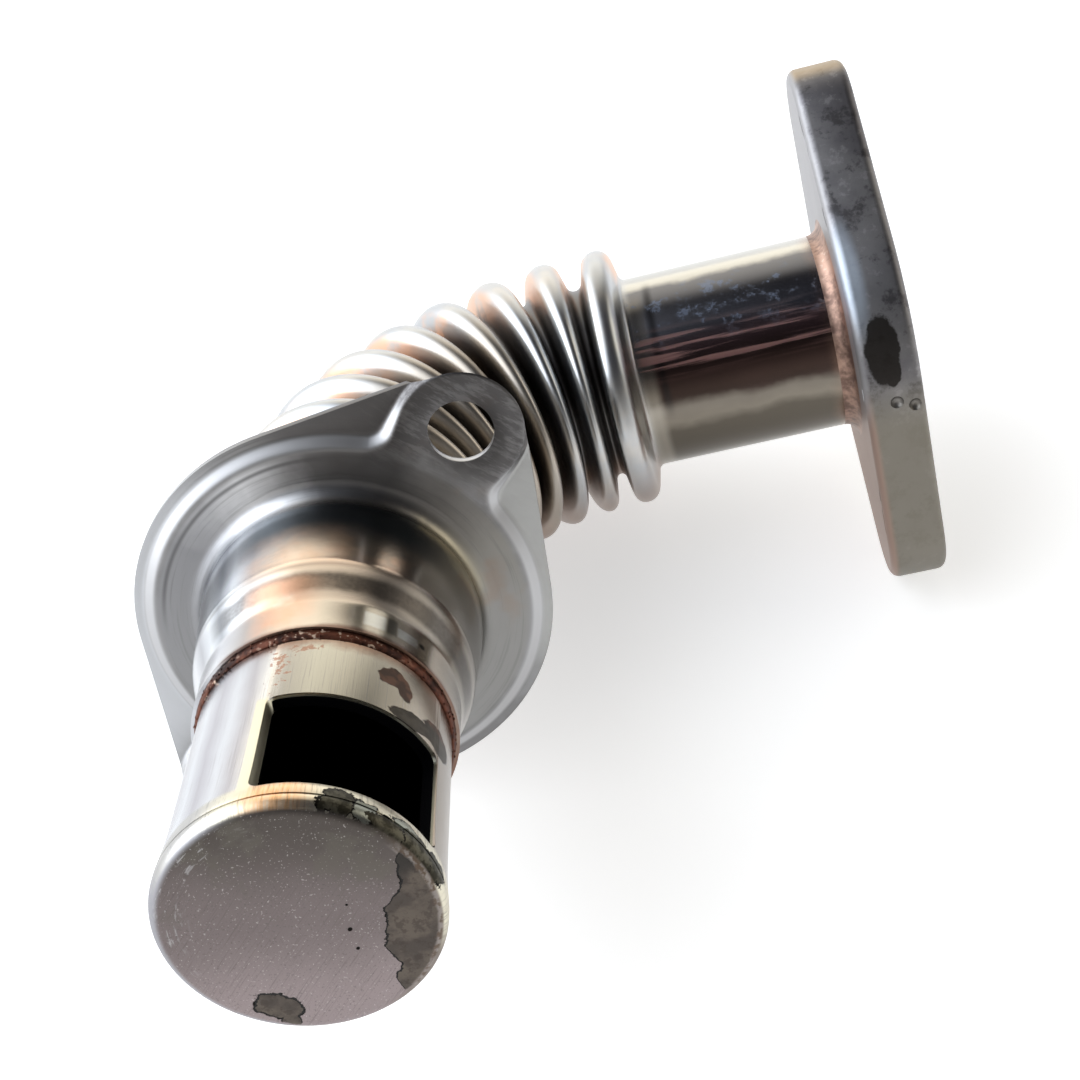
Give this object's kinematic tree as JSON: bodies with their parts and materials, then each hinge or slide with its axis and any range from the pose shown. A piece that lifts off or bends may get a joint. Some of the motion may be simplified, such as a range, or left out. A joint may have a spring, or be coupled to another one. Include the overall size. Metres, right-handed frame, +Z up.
{
  "type": "intake manifold tube",
  "caption": "Corrugated exhaust-gas tube bent square, with a thick two-bolt flange, a pressed two-ear flange and a capped nozzle with a side window.",
  "frame": {"origin": "centre of the bounding box's footprint, on the floor the tube lies on", "axes": "+Z up; the nozzle points toward -Y and a little up; the thick flange stands at the +X side"},
  "size_m": [0.0988, 0.1224, 0.0561],
  "materials": {
    "nozzle_steel": "polished, brown tarnish and flaked patches",
    "cap_steel": "satin, with dark flaked patches",
    "sheet_steel": "satin, bright at the pressed edges",
    "pipe_steel": "polished",
    "flange_steel": "satin, mottled",
    "braze": "dull, rusty brown",
    "tinted_braze": "satin, heat tinted"
  },
  "bodies": {
    "root": {"nozzle_tube": "nozzle_steel", "end_cap": "cap_steel", "pressed_flange": "sheet_steel", "corrugated_pipe": "pipe_steel", "thick_flange": "flange_steel", "collar_braze": "braze", "stub_braze": "tinted_braze"}
  },
  "joints": []
}
